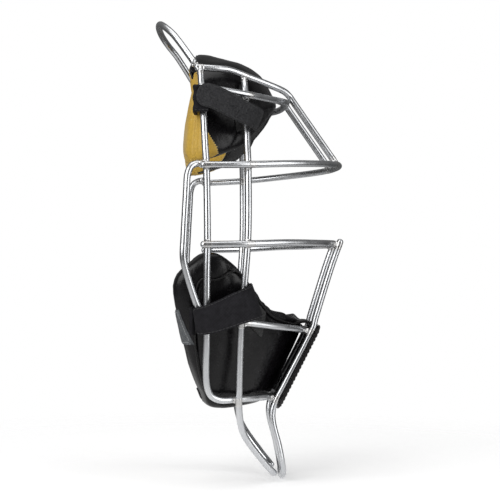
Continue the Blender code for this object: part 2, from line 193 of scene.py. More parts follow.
def leather_look(name, dark, light, worn, grain, roughness, sheen, painted_sheen=None):
    """Grained leather: pebbles with fine pores, soft creases, uneven tone, painted shade in the pebbles'
    hollows, and paler worn edges. Given a sheen colour, its rear part is painted paler, as a painted
    reflection.
    """
    look = Look(name, 0.4)
    pebbles = look.cells(grain, "SMOOTH_F1")
    pores = look.noise(0.28, 3.0)
    creases = look.noise(7.0, 5.0, 1.2)
    tone = look.noise(26.0, 3.0)
    colour = look.mixed(tone, rgb(*dark), rgb(*light))
    # Painted reflection: the pad's rear ends are painted paler, standing in for the grazing sheen seen
    # there.
    if painted_sheen is not None:
        back = look.add("SeparateXYZ", {0: look.place}).outputs["X"]
        wander = look.math("MULTIPLY_ADD", look.noise(14.0, 2.0), 4 * MM, back)
        behind = look.between(wander, PAINTED_SHEEN_FROM * MM, PAINTED_SHEEN_TO * MM, 0.0, 0.75)
        colour = look.mixed(behind, colour, rgb(*painted_sheen))
    coarse = look.bump(pebbles, 0.10, 0.45, look.bump(creases, 0.55, 0.30))
    # Painted shade: the pebbles' hollows are painted darker, where shade falls between them.
    hollow = look.between(pebbles, 0.1, 0.7, 0.0, 0.35)
    colour = look.mixed(hollow, colour, rgb(*(0.55 * c for c in dark)))
    look.set(
        Base_Color=look.mixed(look.worn_edges(), colour, rgb(*worn)),
        Roughness=look.between(look.math("ADD", creases, pores), 0.7, 1.3, *roughness),
        Normal=look.bump(pores, 0.03, 0.4, coarse),
        Sheen_Weight=sheen,
        Sheen_Roughness=0.5,
        Specular_IOR_Level=0.3,
    )
    return look.material


def loop_look():
    """Brushed loop pile, as on the outside of a hook-and-loop strap."""
    look = Look("loop_pile", 0.95)
    fibres = look.noise(0.22, 3.0, 1.5)
    tufts = look.noise(1.1, 4.0, 0.8)
    nap = look.noise(9.0, 3.0)
    tone = look.between(look.math("ADD", fibres, tufts), 0.75, 1.25)
    colour = look.mixed(tone, rgb(0.007, 0.007, 0.008), rgb(0.058, 0.058, 0.061))
    brushed = look.between(nap, 0.35, 0.7, 0.0, 0.35)
    look.set(
        Base_Color=look.mixed(brushed, colour, rgb(0.045, 0.045, 0.047)),
        Normal=look.bump(fibres, 0.25, 0.8, look.bump(tufts, 0.5, 0.8)),
        Sheen_Weight=0.08,
        Sheen_Roughness=0.4,
        Specular_IOR_Level=0.15,
    )
    return look.material


def webbing_look(name, dark, light, pitch):
    """Plain woven tape. Its threads follow the lengths kept on the mesh, along it and over it."""
    look = Look(name, 0.8)
    turns = math.tau / (pitch * MM)
    along = look.math("SINE", look.math("MULTIPLY", look.attribute("along"), turns))
    over = look.math("SINE", look.math("MULTIPLY", look.attribute("over"), turns))
    weave = look.between(look.math("MULTIPLY", along, over), -1.0, 1.0)
    fuzz = look.noise(0.35, 3.0)
    wear = look.noise(3.0, 3.0)
    tone = look.between(look.math("ADD", weave, look.math("ADD", fuzz, wear)), 0.9, 2.1)
    look.set(
        Base_Color=look.mixed(tone, rgb(*dark), rgb(*light)),
        Roughness=look.between(fuzz, 0.3, 0.7, 0.7, 0.95),
        Normal=look.bump(fuzz, 0.12, 0.5, look.bump(weave, 0.22, 0.7)),
        Specular_IOR_Level=0.15,
    )
    return look.material


def hook_look():
    """Rows of small plastic hooks, with painted shade in the gaps between them and the hook tops painted
    lighter.
    """
    look = Look("hook_tape", 0.55)
    hooks = look.cells(0.9)
    # Painted light and shade: lighter at each hook's raised top, darker in the gaps between the hooks.
    colour = look.mixed(look.between(hooks, 0.1, 0.6), rgb(0.05, 0.05, 0.05), rgb(0.006, 0.006, 0.006))
    look.set(Base_Color=colour, Normal=look.bump(hooks, -0.5, 0.9))
    return look.material


def thread_look(name, colour):
    look = Look(name, 0.6)
    twist = look.noise(0.25, 2.0)
    paler = tuple(min(1.0, 1.8 * c + 0.01) for c in colour)
    look.set(
        Base_Color=look.mixed(twist, rgb(*colour), rgb(*paler)),
        Normal=look.bump(twist, 0.1, 0.6),
    )
    return look.material


STEEL = steel_look()
WELD = weld_look()
TAN = leather_look(
    "tan_leather",
    dark=(0.50, 0.30, 0.040),
    light=(0.66, 0.43, 0.068),
    worn=(0.72, 0.55, 0.22),
    grain=1.1,
    roughness=(0.38, 0.55),
    sheen=0.1,
    # colour of the painted grazing sheen on the pad's rear ends
    painted_sheen=(0.56, 0.43, 0.21),
)
BLACK = leather_look(
    "black_leather",
    dark=(0.0020, 0.0018, 0.0022),
    light=(0.0052, 0.0046, 0.0056),
    worn=(0.016, 0.015, 0.015),
    grain=0.8,
    roughness=(0.20, 0.36),
    sheen=0.0,
)
LOOP = loop_look()
WEBBING = webbing_look("webbing", (0.002, 0.002, 0.0025), (0.024, 0.023, 0.027), 1.3)
LABEL = webbing_look("label_weave", (0.02, 0.021, 0.023), (0.19, 0.20, 0.21), 0.9)
HOOKS = hook_look()
BLACK_THREAD = thread_look("black_thread", (0.02, 0.02, 0.021))
GREY_THREAD = thread_look("grey_thread", (0.22, 0.225, 0.23))


# ---- lines and meshes


def mirrored(point):
    return Vector((point[0], -point[1], point[2]))


def bent_value(before, start, end, after, share):
    """A bar between start and end. Its bends stay in its short spans, and its long spans straight."""
    reach = (end - start).length
    leaving = (end - before).normalized() * reach
    arriving = (after - start).normalized() * reach
    rest = 1 - share
    ends = start * rest**2 * (1 + 2 * share) + end * share**2 * (1 + 2 * rest)
    return ends + share * rest * (leaving * rest - arriving * share)


def smooth(points, step=1.5):
    """A smooth line through the points, with its ends running straight on."""
    points = [Vector(p) for p in points]
    padded = [2 * points[0] - points[1], *points, 2 * points[-1] - points[-2]]
    line = []
    for i in range(len(points) - 1):
        steps = max(2, round((points[i + 1] - points[i]).length / step))
        for k in range(steps):
            line.append(bent_value(*padded[i : i + 4], k / steps))
    line.append(points[-1])
    return line


def across(half):
    return [Vector(p) for p in half] + [mirrored(p) for p in reversed(half[:-1])]


def linked(name, bm):
    """An object in the scene with the mesh of bm, which is freed."""
    mesh = bpy.data.meshes.new(name)
    bm.to_mesh(mesh)
    bm.free()
    thing = bpy.data.objects.new(name, mesh)
    bpy.context.scene.collection.objects.link(thing)
    return thing


def finished(name, bm, material, body, replaced=()):
    """Makes the piece, lets it ride on its body and stand for its CAD nodes."""
    bmesh.ops.recalc_face_normals(bm, faces=bm.faces)
    piece = linked(name, bm)
    piece.data.materials.append(material)
    piece.data.shade_smooth()
    piece.data.set_sharp_from_angle(angle=SHARP_ANGLE)
    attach(piece, body)
    if replaced:
        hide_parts(*replaced)
    return piece


def vertex_rows(bm, grid):
    """Adds the points of a grid in millimetres."""
    return [[bm.verts.new(p * MM) for p in row] for row in grid]


def ring_faces(bm, rings, closed=True):
    for this, following in zip(rings, rings[1:]):
        count = len(this)
        for j in range(count if closed else count - 1):
            k = (j + 1) % count
            bm.faces.new((this[j], this[k], following[k], following[j]))


def face_and_share(j, count):
    """For point j of a flat section: its face, 1 or -1, and its place across, from -1 to 1."""
    face = 1 if j < count else -1
    return face, ((j % count + 0.5) / count * 2 - 1) * face


def tube(bm, rings):
    """Adds a closed skin over rings of vertices."""
    ring_faces(bm, rings)
    for ring in (rings[0], rings[-1]):
        bm.faces.new(ring)


def sweep(bm, line, radius, sides, dome=0.8, dome_steps=5):
    """Adds a round rod along a line, with domed ends. The dome is a share of the radius."""
    last = len(line) - 1
    tangents = [(line[min(i + 1, last)] - line[max(i - 1, 0)]).normalized() for i in range(last + 1)]
    stops = []
    for k in range(1, dome_steps + 1):
        angle = math.pi / 2 * (1 - k / dome_steps)
        stops.append((0, -math.sin(angle) * dome * radius, math.cos(angle) * radius))
    stops += [(i, 0.0, radius) for i in range(1, last)]
    for k in range(dome_steps):
        angle = math.pi / 2 * k / dome_steps
        stops.append((last, math.sin(angle) * dome * radius, math.cos(angle) * radius))
    side = tangents[0].orthogonal().normalized()
    rings = []
    for i, push, size in stops:
        ahead = tangents[i]
        side = (side - ahead * side.dot(ahead)).normalized()
        up = ahead.cross(side)
        centre = line[i] + ahead * push
        ring = []
        for j in range(sides):
            turn = math.tau * j / sides
            ring.append(bm.verts.new((centre + size * (math.cos(turn) * side + math.sin(turn) * up)) * MM))
        rings.append(ring)
    ring_faces(bm, rings)
    for ring, end, sign in ((rings[0], 0, -1), (rings[-1], last, 1)):
        tip = bm.verts.new((line[end] + sign * tangents[end] * dome * radius) * MM)
        for j in range(sides):
            bm.faces.new((ring[j], ring[(j + 1) % sides], tip))


# ---- the cage

WHOLE_BARS = {
    "crown_loop": (
        CORNER + Vector((-4.9, 2.5, 4.4)),
        (-23, -46, 175), (-30, -38, 182.8), (-34.2, -25, 187.3), (-35.8, 0, 188.8),
    ),
    "perimeter_rail": (
        CORNER + Vector((0.0, -1.5, -2.9)),
        (-2.5, -71, 115.6), (-1.4, -76, 95), (-0.4, OUTER_Y, 77), (0.3, OUTER_Y, 32.2),
        (0, -77, 4), (-0.1, -70.5, -38), (-0.4, -62.5, -67.5), (2.6, -58, -79),
        (9, -54.8, CHIN_Z + 0.2), (18.8, -49.3, CHIN_Z), (33, -38.3, CHIN_Z), (45.4, -24, CHIN_Z),
        (49.6, -10, CHIN_Z), (50, 0, CHIN_Z),
    ),
    "brow_bar": (
        (-4.8, -72.2, 135.4), (-2.7, -71.4, 135.2), (27.6, -59.9, 131.7), (42, -45.5, 131),
        (51, -33.5, 131), (55.4, -24, 131.4), (58.6, -10, 132.6), (59, 0, 133),
    ),
    "upper_eye_bar": (
        (-2.6, EYE_BAR_Y - 0.1, 80), (3, EYE_BAR_Y, 80.1), (28.5, -76.6, 81), (58, -61.5, 83),
        (82, -42, 84.6), (93.8, FRONT_Y, 85.6), (97.4, -10, 86), (97.9, 0, 86),
    ),
    "lower_eye_bar": (
        (-2.6, EYE_BAR_Y - 0.1, 25.6), (3, EYE_BAR_Y, 25.6), (28.3, -78.4, 26.2), (56, -62.5, 27.5),
        (80, -42, 27.8), (90.8, FRONT_Y, 28), (94.4, -10, 28), (94.8, 0, 28),
    ),
    "mouth_bar": (
        (27.7, -60.6, -28.6), (34, -56.8, -29.4), (50, -45.6, -31.8), (63, -33.5, -33.6),
        (70, -24, -34.8), (73.6, -10, -35.6), (74.2, 0, -35.8),
    ),
    "front_throat_loop": (
        (96.9, FRONT_Y, 29.4), (90.3, FRONT_Y, 10.9), (78.8, FRONT_Y, -26), (76.6, FRONT_Y, -34),
        (55.7, FRONT_Y, -74.8), (48.6, FRONT_Y, -89), (47.3, FRONT_Y, -97), (48.4, FRONT_Y, -105),
        (51.6, -24.6, -117), (54.2, -23.8, -129.6), (55.4, -20, -137.6),
        (55.2, -11, THROAT_Z + 0.9), (55, 0, THROAT_Z),
    ),
}
BAR_PAIRS = {
    "top_rail": (
        CORNER + Vector((-2.6, 0.0, 0.0)),
        (7.7, -55.5, 150.5), (15.8, -51.5, 150.2), (27.7, -45, 147), (48.4, -33, 141),
        (56.2, -27.5, 138.3), (60, FRONT_Y, 135.2), (62.6, FRONT_Y, 131.4), (77.2, FRONT_Y, 110.3),
        (92.2, FRONT_Y, 88.7),
    ),
    "side_bar": (
        (26.2, -46.4, 143.4), (26.7, -51, 137), (28, -66, 95.3), (28.5, -71, 77.5),
        (28.3, -73, 32.5), (26, -70.5, -2), (23.8, -63.5, -33.5), (22.7, -55, -74),
        (22.8, -50.2, -92), (25.2, -44, -105.5), (30.3, -39, -115.2), (42.4, -30.5, -131.2),
        (46.4, -26.6, -135.9), (48.8, -21.5, -138.6),
    ),
    "ear_guard": (
        (-3.9, -79.6, 81.6), (-7.5, -82, 81), (-11.2, -84, 78.6), (-13.3, -85.2, 73),
        (-13.9, -86, 64), (-15.8, -87, 28.6), (-16.2, -86.6, 17.5), (-14.7, -84.6, 9),
        (-8.4, -78.8, -11.4), (-5, -77.3, -20), (-0.4, -77.1, -31.5),
    ),
}


def bar_lines():
    lines = {name: smooth(across(half)) for name, half in WHOLE_BARS.items()}
    for name, half in BAR_PAIRS.items():
        lines[name + "_right"] = smooth(half)
        lines[name + "_left"] = [mirrored(p) for p in lines[name + "_right"]]
    return lines


def bars(lines):
    for name, line in lines.items():
        bm = bmesh.new()
        sweep(bm, line, WIRE / 2, 28)
        finished(name + "_wire", bm, STEEL, "cage", [name])


WELD_REACH = 1.25 * WIRE  # bars whose centrelines pass nearer than this are welded
WELD_APART = 14.0  # two welds between the same bars are further apart than this
WELD_HALF = 4.2  # half the length of a weld along its bars
WELD_SWELL = 0.12  # how far a weld stands out from its bars
WELD_BLOBS = 5
WELD_VOXEL = 0.42


def weld_spots(lines):
    """Where two bars touch: the nearest point of each to the other."""
    spots = []
    names = sorted(lines)
    arrays = {name: np.array([list(p) for p in lines[name]]) for name in names}
    for a, first in enumerate(names):
        for second in names[a + 1 :]:
            gap = np.linalg.norm(arrays[first][:, None] - arrays[second][None], axis=2)
            found = []
            for flat in np.argsort(gap, axis=None):
                i, j = np.unravel_index(flat, gap.shape)
                if gap[i, j] > WELD_REACH:
                    break
                here = lines[first][i]
                if all((here - other).length > WELD_APART for other in found):
                    found.append(here)
                    spots.append((first, i, second, j))
    return spots


def stub(line, i, reach):
    """The stretch of a line within reach of its point i."""
    low, high = i, i
    while low > 0 and (line[low - 1] - line[i]).length < reach:
        low -= 1
    while high < len(line) - 1 and (line[high + 1] - line[i]).length < reach:
        high += 1
    if high - low < 2:
        low, high = max(0, high - 2), min(len(line) - 1, low + 2)
    return line[low : high + 1]


def melted(bm):
    """The outer skin of everything in bm, smoothed, as a new bmesh."""
    thing = linked("weld", bm)
    remesh = thing.modifiers.new("skin", "REMESH")
    remesh.mode = "VOXEL"
    remesh.voxel_size = WELD_VOXEL * MM
    soften = thing.modifiers.new("soften", "SMOOTH")
    soften.iterations = 7
    soften.factor = 0.5
    bpy.context.view_layer.update()
    skin = bmesh.new()
    skin.from_object(thing, bpy.context.evaluated_depsgraph_get())
    mesh = thing.data
    bpy.data.objects.remove(thing)
    bpy.data.meshes.remove(mesh)
    return skin


def welds(lines):
    """A fillet of melted steel at every place where two bars touch."""
    random.seed(4)
    for number, (first, i, second, j) in enumerate(weld_spots(lines), 1):
        bm = bmesh.new()
        for name, at in ((first, i), (second, j)):
            sweep(bm, stub(lines[name], at, WELD_HALF), WIRE / 2 + WELD_SWELL, 16, dome=0.5)
        middle = (lines[first][i] + lines[second][j]) / 2
        side = (lines[first][i] - lines[second][j]).normalized()
        for k in range(WELD_BLOBS):
            turn = math.tau * (k + random.uniform(-0.15, 0.15)) / WELD_BLOBS
            around = side.orthogonal().normalized()
            around = around * math.cos(turn) + side.cross(around) * math.sin(turn)
            size = random.uniform(0.9, 1.15)
            centre = middle + around * random.uniform(1.3, 1.8)
            sweep(bm, [centre - around * 0.3, centre, centre + around * 0.3], size, 12, dome=1.0)
        finished(f"weld_{number:02d}", melted(bm), WELD, "cage")


# ---- the pads' skins

# Each station is a section of a pad, as its corners: outer low, outer top, inner top, inner low.
FOREHEAD_PAD = (
    ((55, 0, 127), (39, 0, 158), (-15, 0, 173), (20, 0, 121)),
    ((42, -36, 109), (31, -30, 157), (-15, -17, 169), (14, -25, 106)),
    ((25, -59, 94), (13, -44, 156), (-16, -27, 161), (8, -38, 92)),
    ((0, -69, 87), (-2, -52, 149), (-11, -32, 153), (-7, -43, 85)),
    ((-15, -63, 85), (-6, -51, 144), (-11, -38, 148), (-19, -47, 84)),
)
CHIN_PAD = (
    ((45, 0, -89), (74.5, 0, -26), (48, 0, -24), (18, 0, -86)),
    ((31, -32, -90), (49, -42, -18), (30, -29, -18), (13, -20, -87)),
    ((14, -43, -91), (24, -65, 12), (6, -43, 13), (3, -28, -88)),
    ((2, -51, -87), (3, -72.5, 20), (-8, -49, 20), (-5, -32, -85)),
    ((-8, -50, -70), (-26, -69, 1), (-27, -55, 2), (-12, -37, -70)),
)
SQUARENESS = 4.0  # exponent of the superellipse that is a pad's section
DOME_FROM = 0.92  # where a pad's section starts to close
COLUMNS = 56
ROWS = 61
DOME_ROWS = 6
HALF_LENGTH = 95.0  # roughly, of a pad from its middle to its end
GIRTH = 185.0  # roughly, of a pad once round
PRESSURE = 4.0  # of the air that puffs a cover
PUFF_FRAMES = 20
COVER_ROOM = 0.35  # between a cover and a bar


def spline_weights(t):
    """The weights of four neighbouring values at t between the middle two."""
    return np.stack(
        (
            -0.5 * t + t**2 - 0.5 * t**3,
            1 - 2.5 * t**2 + 1.5 * t**3,
            0.5 * t + 2 * t**2 - 1.5 * t**3,
            -0.5 * t**2 + 0.5 * t**3,
        ),
        -1,
    )


def section(stations, s):
    """The corners of a pad's section at s, from -1 at the left end to 1 at the right end."""
    flip = np.array((1.0, -1.0, 1.0))
    rows = np.array(stations, float)
    rows = np.concatenate((rows[1:2] * flip, rows, 2 * rows[-1:] - rows[-2:-1]))
    place = abs(s) * (len(stations) - 1)
    i = min(int(place), len(stations) - 2)
    weights = spline_weights(np.array(place - i))
    corners = np.tensordot(weights, rows[i : i + 4], 1)
    return corners if s >= 0 else corners * flip


def outline_point(stations, s, turn):
    """A point of a pad's outline. The turn is 0 at the outside, a quarter at the top, and so on."""
    beyond = max(0.0, (abs(s) - DOME_FROM) / (1 - DOME_FROM))
    lean = beyond * math.pi / 2
    along = abs(s) if not beyond else DOME_FROM + (1 - DOME_FROM) * math.sin(lean)
    size = 0.04 + 0.96 * math.sqrt(max(0.0, math.cos(lean)))
    outer_low, outer_top, inner_top, inner_low = section(stations, math.copysign(along, s))
    angle = math.tau * turn
    u, v = math.cos(angle), math.sin(angle)
    reach = size / (abs(u) ** SQUARENESS + abs(v) ** SQUARENESS) ** (1 / SQUARENESS)
    u, v = u * reach, v * reach
    outer = outer_top * (1 + v) / 2 + outer_low * (1 - v) / 2
    inner = inner_top * (1 + v) / 2 + inner_low * (1 - v) / 2
    return (outer * (1 + u) + inner * (1 - u)) / 2


class Skin:
    """A pad's surface as a grid of points: rows from its left end to its right, columns once round."""

    def __init__(self, stations):
        inner = np.linspace(-DOME_FROM, DOME_FROM, ROWS)
        ends = np.linspace(DOME_FROM, 1, DOME_ROWS + 1)[1:]
        self.places = np.concatenate((-ends[::-1], inner, ends))
        turns = skin_turns()
        self.move_to(np.array([[outline_point(stations, s, t) for t in turns] for s in self.places]))

    def move_to(self, points):
        self.points = points
        along = np.gradient(points, axis=0)
        around = np.roll(points, -1, axis=1) - np.roll(points, 1, axis=1)
        normals = np.cross(around, along)
        normals /= np.maximum(np.linalg.norm(normals, axis=2, keepdims=True), 1e-9)
        for _ in range(3):
            normals[1:-1] = (normals[:-2] + 2 * normals[1:-1] + normals[2:]) / 4
        self.normals = normals / np.maximum(np.linalg.norm(normals, axis=2, keepdims=True), 1e-9)
        centre = points.mean(axis=1, keepdims=True)
        if np.mean(np.sum(self.normals * (points - centre), axis=2)) < 0:
            self.normals = -self.normals
        for end, other in ((0, 1), (-1, -2)):
            out = centre[end, 0] - centre[other, 0]
            self.normals[end] = out / np.linalg.norm(out)

    def mix(self, grid, row, column):
        i, j = np.floor(row).astype(int), np.floor(column).astype(int)
        by_row, by_column = spline_weights(row - i), spline_weights(column - j)
        total = np.zeros((*row.shape, 3))
        for a in range(4):
            rows = np.clip(i + a - 1, 0, len(self.places) - 1)
            for b in range(4):
                weight = by_row[..., a] * by_column[..., b]
                total += weight[..., None] * grid[rows, (j + b - 1) % COLUMNS]
        return total

    def at(self, s, turn, lift=0.0):
        """Points of the skin, lifted off it by that many millimetres. Takes arrays of any one shape."""
        s, turn, lift = np.broadcast_arrays(np.asarray(s, float), np.asarray(turn, float), lift)
        row = np.interp(s, self.places, np.arange(len(self.places)))
        column = turn % 1.0 * COLUMNS
        normals = self.mix(self.normals, row, column)
        normals /= np.maximum(np.linalg.norm(normals, axis=-1, keepdims=True), 1e-9)
        return self.mix(self.points, row, column) + normals * lift[..., None], normals


def skin_turns():
    return np.arange(COLUMNS) / COLUMNS


def puffed(skin, held_turns, cap):
    """Blows the skin up like a stuffed cover, held along its seams. No point moves by more than cap."""
    bm = bmesh.new()
    grid = vertex_rows(bm, skin.points)
    ring_faces(bm, grid)
    for ring in (grid[0], grid[-1]):
        middle = bm.verts.new(sum((v.co for v in ring), Vector()) / len(ring))
        for j in range(COLUMNS):
            bm.faces.new((ring[j], ring[(j + 1) % COLUMNS], middle))
    bmesh.ops.recalc_face_normals(bm, faces=bm.faces)
    thing = linked("puffing", bm)
    seams = thing.vertex_groups.new(name="seams")
    held = [round(t * COLUMNS) % COLUMNS for t in held_turns]
    seams.add([i * COLUMNS + j for i in range(len(skin.places)) for j in held], 1.0, "REPLACE")
    cloth = thing.modifiers.new("puff", "CLOTH").settings
    cloth.use_pressure = True
    cloth.uniform_pressure_force = PRESSURE
    cloth.effector_weights.gravity = 0.0
    cloth.vertex_group_mass = "seams"
    for number in range(1, PUFF_FRAMES + 1):
        bpy.context.scene.frame_set(number)
    blown = thing.evaluated_get(bpy.context.evaluated_depsgraph_get()).to_mesh()
    flat = np.zeros(len(blown.vertices) * 3)
    blown.vertices.foreach_get("co", flat)
    moved = flat.reshape(-1, 3)[: skin.points.size // 3].reshape(skin.points.shape) / MM
    bpy.context.scene.frame_set(1)
    bpy.data.objects.remove(thing)
    step = moved - skin.points
    length = np.linalg.norm(step, axis=2, keepdims=True)
    skin.move_to(skin.points + step * np.minimum(1.0, cap / np.maximum(length, 1e-9)))


# ---- things on the skins


class Clearance:
    """Keeps soft pieces off the bars: a point that is too near a bar is pressed inwards."""

    def __init__(self, lines):
        points = [p for line in lines.values() for p in line]
        self.tree = KDTree(len(points))
        for i, point in enumerate(points):
            self.tree.insert(point, i)
        self.tree.balance()

    def press(self, points, normals, room):
        points = points.copy()
        flat, out = points.reshape(-1, 3), normals.reshape(-1, 3)
        for i in range(len(flat)):
            for _ in range(8):
                gap = self.tree.find(Vector(flat[i]))[2]
                if gap >= WIRE / 2 + room:
                    break
                flat[i] -= out[i] * (WIRE / 2 + room - gap + 0.05)
        return points


def grid_piece(bm, grid, closed=False):
    """Adds a sheet of quads over a grid of points, and returns its vertices."""
    rows = vertex_rows(bm, grid)
    ring_faces(bm, rows, closed)
    return rows


def layered(bm, outer, inner):
    """Adds a closed slab between two grids of points of the same shape."""
    top, bottom = grid_piece(bm, outer), grid_piece(bm, inner)
    rims = []
    for rows in (top, bottom):
        right = [row[-1] for row in rows[1:-1]]
        left = [row[0] for row in rows[-2:0:-1]]
        rims.append(rows[0] + right + rows[-1][::-1] + left)
    count = len(rims[0])
    for j in range(count):
        k = (j + 1) % count
        bm.faces.new((rims[0][j], rims[0][k], rims[1][k], rims[1][j]))


PATH_STEP = 1.2  # between the points of a line on a skin
SEAM_BESIDE = 0.018  # the turn from a seam to the stitches beside it


def path_on(skin, route, lift):
    """A line over the skin through (s, turn) places, with the skin's normals along it."""
    route = np.array(route, float)
    ends, _ = skin.at(route[:, 0], route[:, 1], lift)
    run = run_along(ends)
    wanted = np.linspace(0, run[-1], max(3, int(run[-1] / PATH_STEP)))
    s, turn = np.interp(wanted, run, route[:, 0]), np.interp(wanted, run, route[:, 1])
    return skin.at(s, turn, lift)


def seam_line(route):
    """A smooth line of (s, turn) places through the route's."""
    line = smooth([(s * HALF_LENGTH, turn * GIRTH, 0.0) for s, turn in route])
    return np.array([(p.x / HALF_LENGTH, p.y / GIRTH) for p in line])


def valley(s, turn, line, depth, width):
    """A hollow along a line of places, for a seam that pulls the cover in."""
    away = np.full(s.shape, np.inf)
    for line_s, line_turn in line:
        around = (turn - line_turn + 0.5) % 1 - 0.5
        away = np.minimum(away, np.hypot((s - line_s) * HALF_LENGTH, around * GIRTH))
    return -depth * np.exp(-((away / width) ** 2))


def piping(name, skin, route, radius, clear):
    """A black leather cord sewn into a seam."""
    points, normals = path_on(skin, route, 0.3)
    points = clear.press(points, normals, radius + 0.1)
    bm = bmesh.new()
    sweep(bm, [Vector(p) for p in points], radius, 10)
    finished(name, bm, BLACK, "cage")


def edge_seams(pad, skin, clear, seams, reach, steps, radius, box=None):
    """Piping and a row of stitches along a pad's top and low seams, and piping round its box."""
    bm = bmesh.new()
    length = np.linspace(-reach, reach, steps)
    for edge, seam, beside in zip(("top", "low"), seams, (-SEAM_BESIDE, SEAM_BESIDE)):
        piping(f"{pad}_piping_{edge}", skin, [(s, seam) for s in length], radius, clear)
        points, normals = path_on(skin, [(s, seam + beside) for s in length], 0.1)
        stitches(bm, clear.press(points, normals, 0.5), normals)
    if box is not None:
        piping(pad + "_piping_box", skin, box, radius, clear)
    finished(pad + "_stitches", bm, BLACK_THREAD, "cage")


def fine_places(skin, steps, turns):
    """A fine grid of (s, turn) places over a whole pad."""
    inner = np.linspace(-DOME_FROM, DOME_FROM, steps)
    s = np.concatenate((skin.places[:DOME_ROWS], inner, skin.places[-DOME_ROWS:]))
    return np.meshgrid(s, np.arange(turns) / turns, indexing="ij")


def leather_cover(name, skin, clear, s, turn, relief, replaced):
    """The black leather round a whole pad, which also stands for the pad's foam."""
    points, normals = skin.at(s, turn, relief)
    points = clear.press(points, normals, COVER_ROOM)
    bm = bmesh.new()
    tube(bm, vertex_rows(bm, points))
    return finished(name, bm, BLACK, "cage", replaced)


def run_along(points):
    """The length of a line up to each of its points."""
    return np.concatenate(((0,), np.cumsum(np.linalg.norm(np.diff(points, axis=0), axis=1))))


def stitches(bm, points, normals, length=2.6, pitch=4.0, radius=0.28, lift=0.25):
    """Adds a row of stitches along a line on a surface."""
    points = np.asarray(points)
    run = run_along(points)
    for start in np.arange(pitch / 2, run[-1] - length, pitch):
        line = []
        for share in (0.0, 0.2, 0.5, 0.8, 1.0):
            where = start + share * length
            point, normal = (
                np.array([np.interp(where, run, values[:, k]) for k in range(3)])
                for values in (points, normals)
            )
            rise = lift * math.sin(math.pi * share) - 0.15
            line.append(Vector(point + normal * rise))
        sweep(bm, line, radius, 6, dome=0.6, dome_steps=2)


def wave_noise(points, size, seed):
    """Smooth repeatable noise from -1 to 1, the same for a place each time."""
    steps = random.Random(seed)
    total = np.zeros(points.shape[:-1])
    for _ in range(6):
        direction = np.array([steps.gauss(0, 1) for _ in range(3)])
        direction *= math.tau / (size * np.linalg.norm(direction)) * steps.uniform(0.7, 1.4)
        total += np.sin(points @ direction + steps.uniform(0, math.tau))
    return total / 3


# ---- the forehead pad

FOREHEAD_PUFF = 3.0  # how far a point of the pad may move when it is puffed
FOREHEAD_TOP_SEAM = 0.385
FOREHEAD_LOW_SEAM = 0.654
TAN_THICKNESS = 0.9
TAN_INNER_FROM = 0.70  # the folded end of the tan leather starts here on the wearer's side
# Where the tan leather's cut edge lies on the outer side, as (turn, s).
TAN_EDGE = (
    (-0.346, 0.80), (-0.24, 0.80), (-0.19, 0.75), (-0.155, 0.66), (-0.12, 0.675), (-0.07, 0.74),
    (-0.02, 0.81), (0.039, 0.84), (0.092, 0.86), (0.154, 0.82), (0.25, 0.81), (0.385, 0.80),
)
PINK_PITCH = 2.4  # the teeth of the tan leather's cut edge
PINK_DEPTH = 0.011
FOLDS = (  # each fold's place along the pad, and its width, depth and sway
    (0.955, 0.016, 0.9, 0), (0.905, 0.014, 0.8, 1.3), (0.850, 0.016, 0.5, 2.6),
)
# How far the rear ends of the forehead pad are drawn in, as (height, distance).
FOREHEAD_TAPER = (
    (82, 2.6), (86, 1.2), (94, 0), (112, 0), (124, 0.5), (136, 1.6), (150, 3),
)


def drawn_in(skin, taper):
    """Shapes a pad's ends: each point near an end moves forwards by its height's distance."""
    heights, moves = np.array(taper).T
    near = np.clip((np.abs(skin.places) - 0.72) / 0.2, 0, 1)
    near = near**2 * (3 - 2 * near)
    points = skin.points.copy()
    points[..., 0] += near[:, None] * np.interp(points[..., 2], heights, moves)
    skin.move_to(points)


def tan_creases(s, turn, points):
    """Soft folds round the ends, where the leather is gathered."""
    near = np.abs(s)
    fold = np.zeros(near.shape)
    for middle, width, depth, sway in FOLDS:
        centre = middle + 0.010 * np.sin(math.tau * turn * 2 + sway)
        strength = 0.65 + 0.35 * np.sin(math.tau * turn * 3 + sway)
        fold -= depth * strength * np.exp(-(((near - centre) / width) ** 2))
    return fold + 0.25 * wave_noise(points, 21.0, 5)


def forehead_cover(skin, clear):
    """The whole stuffed body, with valleys at its seams."""
    s, turn = fine_places(skin, 211, 170)
    base, _ = skin.at(s, turn)
    relief = 0.30 * wave_noise(base, 27.0, 2) + 0.10 * wave_noise(base, 9.0, 3)
    for seam in (FOREHEAD_TOP_SEAM, FOREHEAD_LOW_SEAM):
        line = [(place, seam) for place in np.linspace(-0.9, 0.9, 140)]
        relief += valley(s, turn, line, 1.3, 2.6) * (1 + 0.25 * wave_noise(base, 8.0, 4))
    replaced = ["forehead_pad_core", "forehead_pad_back"]
    cover = leather_cover("forehead_pad_cover", skin, clear, s, turn, relief, replaced)


def tan_edge(turns):
    """Where the tan leather starts at each turn on the outer side: a pinked line."""
    where = np.interp(turns, *np.array(TAN_EDGE).T)
    run = (turns - TAN_EDGE[0][0]) * GIRTH + (where - 0.7) * HALF_LENGTH
    return where - PINK_DEPTH * np.abs(np.sin(math.pi * run / PINK_PITCH))


